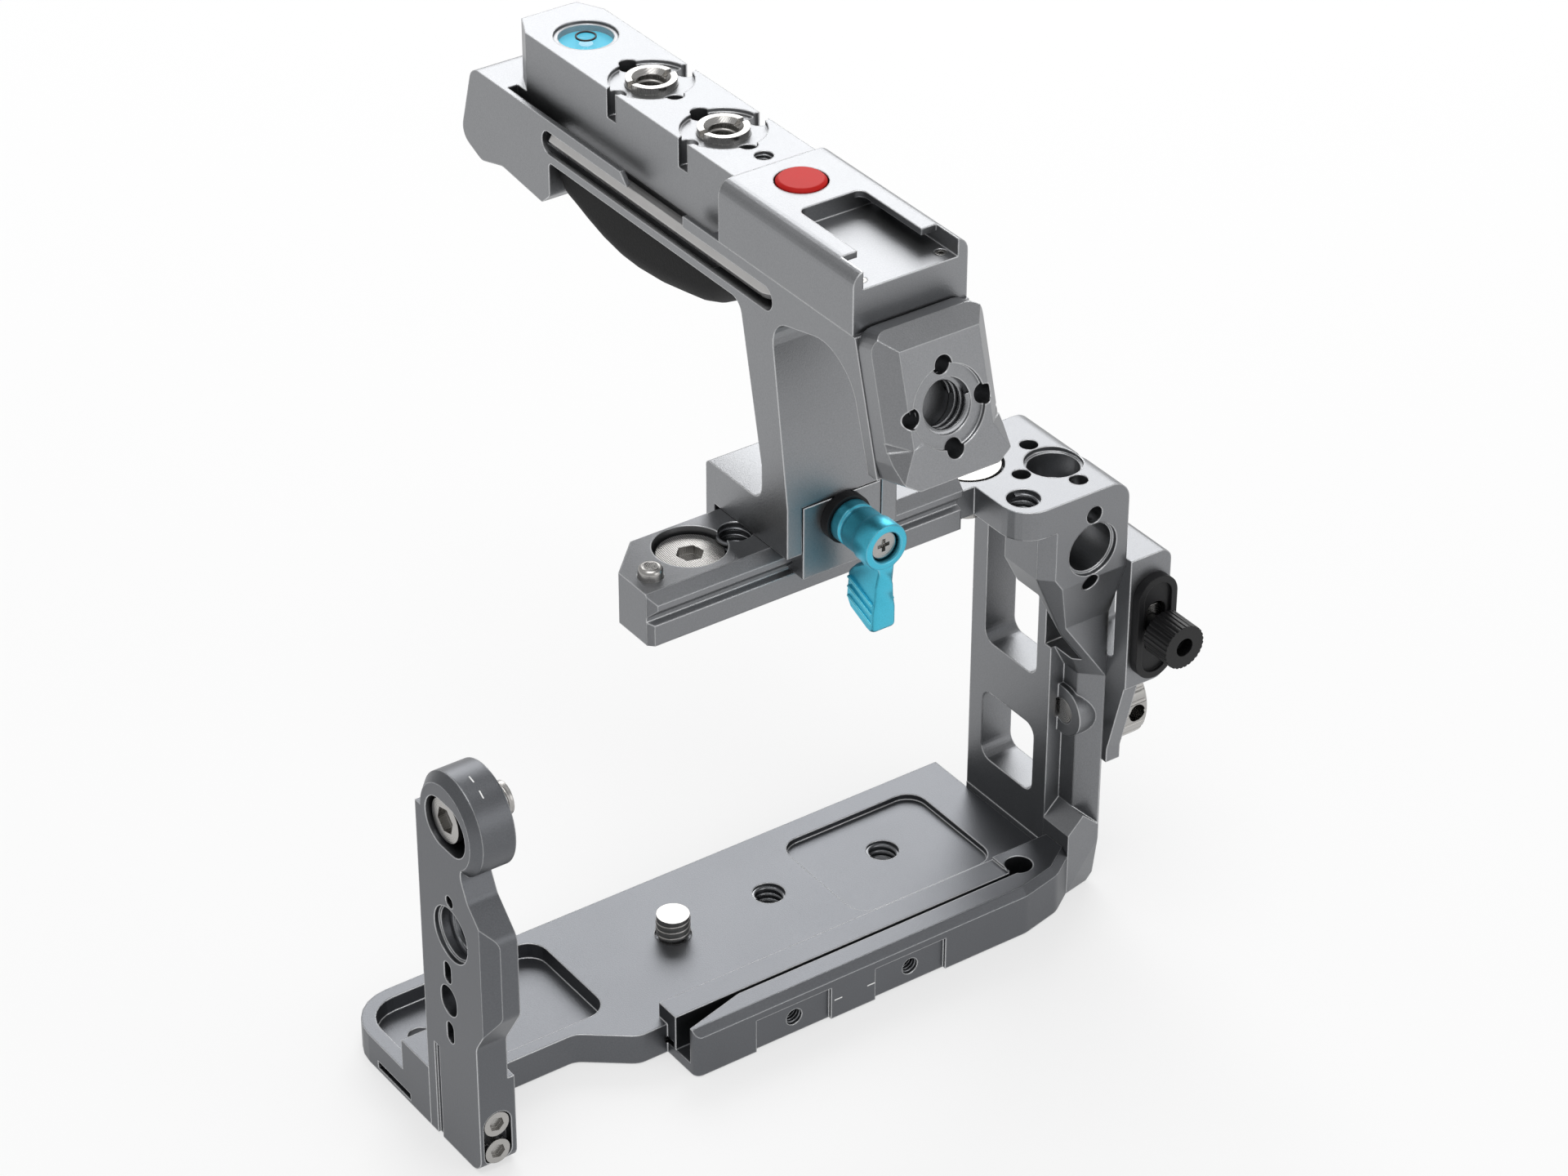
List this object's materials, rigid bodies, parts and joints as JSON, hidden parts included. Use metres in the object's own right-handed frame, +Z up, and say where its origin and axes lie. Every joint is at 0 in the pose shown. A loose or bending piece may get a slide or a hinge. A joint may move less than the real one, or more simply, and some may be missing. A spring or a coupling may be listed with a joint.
{
  "type": "camera cage",
  "caption": "Open metal cage around a camera body, with a base, two sides, a top rail, a sliding carry handle with a lever clamp and a cable clamp.",
  "frame": {"origin": "centre of the main tripod thread at the underside of the base, under the lens axis", "axes": "+Z up, -Y towards the lens side, +X towards the side with the cable clamp"},
  "size_m": [0.1469, 0.1326, 0.1578],
  "materials": {
    "silver": "satin bead-blasted, clear anodised",
    "dark": "satin bead-blasted, dark grey anodised",
    "steel": "turned and brushed",
    "blue": "satin, blue anodised",
    "black_plastic": "matt",
    "black_metal": "satin, black",
    "rubber": "soft, matt",
    "red": "half gloss",
    "glass": "polished",
    "liquid": "clear blue",
    "board": "matt"
  },
  "bodies": {
    "cage": {"base_plate": "dark", "grip_arm": "dark", "arm_side_screw": "steel", "arm_foot_screws": "steel", "side_frame": "dark", "frame_screws": "steel", "top_rail": "silver", "rail_screws": "steel", "stop_spring": "steel", "cable_bracket": "dark", "cable_guide": "black_plastic"},
    "camera screw": {"camera_screw": "steel"},
    "stop pin": {"stop_pin": "steel"},
    "handle": {"handle_body": "silver", "front_mount": "silver", "handle_head": "silver", "head_screws": "steel", "button_spring": "steel", "switch_board": "board", "button_switch": "black_plastic", "deck_bushes": "steel", "level_cup": "silver", "level_liquid": "liquid", "level_window": "glass", "level_mark": "black_plastic", "key_magnet": "steel", "rubber_grip": "rubber", "jaw_springs": "steel"},
    "run button": {"run_button": "red"},
    "hex key": {"hex_key": "steel"},
    "front jaw": {"clamp_jaw": "silver"},
    "clamp screw": {"clamp_stud": "steel", "stud_washer": "black_plastic", "lever_screw": "steel", "lever_spring": "steel"},
    "clamp lever": {"clamp_lever": "blue"},
    "cable nut": {"cable_nut": "steel"},
    "cable jaw": {"cable_jaw": "steel"},
    "thumbscrew": {"cable_thumbscrew": "black_metal"},
    "bracket knob": {"bracket_knob": "steel"}
  },
  "joints": [
    {"name": "camera screw turn", "type": "hinge", "parent": "cage", "child": "camera screw", "pos_m": [-0.021, 0, 0.003], "axis": [0, 0, 1], "continuous": true},
    {"name": "bracket knob turn", "type": "hinge", "parent": "cage", "child": "bracket knob", "pos_m": [0.0597, -0.0188, 0.0369], "axis": [1, 0, 0], "continuous": true},
    {"name": "stop pin press", "type": "slide", "parent": "cage", "child": "stop pin", "axis": [0, 0, -1], "range_m": [0, 0.0022], "stiffness_N_per_m": 400, "springref_m": -0.001, "deforming": ["stop_spring"]},
    {"name": "handle slide", "type": "slide", "parent": "cage", "child": "handle", "axis": [1, 0, 0], "range_m": [-0.018, 0.016]},
    {"name": "run button press", "type": "slide", "parent": "handle", "child": "run button", "axis": [0, 0, -1], "range_m": [0, 0.0008], "stiffness_N_per_m": 800, "springref_m": -0.0008, "deforming": ["button_spring"]},
    {"name": "hex key pull", "type": "slide", "parent": "handle", "child": "hex key", "axis": [-1, 0, 0], "range_m": [0, 0.018]},
    {"name": "front jaw opening", "type": "slide", "parent": "handle", "child": "front jaw", "axis": [0, -1, 0], "range_m": [0, 0.0016]},
    {"name": "clamp screw turn", "type": "hinge", "parent": "front jaw", "child": "clamp screw", "pos_m": [0, -0.024, 0.0993], "axis": [0, -1, 0], "range_deg": [0, 720]},
    {"name": "clamp lever pull", "type": "slide", "parent": "clamp screw", "child": "clamp lever", "axis": [0, -1, 0], "range_m": [0, 0.0025], "stiffness_N_per_m": 300, "springref_m": -0.001},
    {"name": "cable nut slide", "type": "slide", "parent": "cage", "child": "cable nut", "axis": [0, 0, 1], "range_m": [-0.0026, 0.0026]},
    {"name": "cable jaw press", "type": "slide", "parent": "cable nut", "child": "cable jaw", "axis": [0, 1, 0], "range_m": [0, 0.0012]},
    {"name": "thumbscrew turn", "type": "hinge", "parent": "cable jaw", "child": "thumbscrew", "pos_m": [0.0617, -0.033, 0.0586], "axis": [0, 1, 0], "range_deg": [0, 610]}
  ],
  "couplings": [
    {"joint": "clamp screw turn", "follows": "front jaw opening", "rad_per_m": 7854},
    {"joint": "thumbscrew turn", "follows": "cable jaw press", "rad_per_m": 8872}
  ]
}
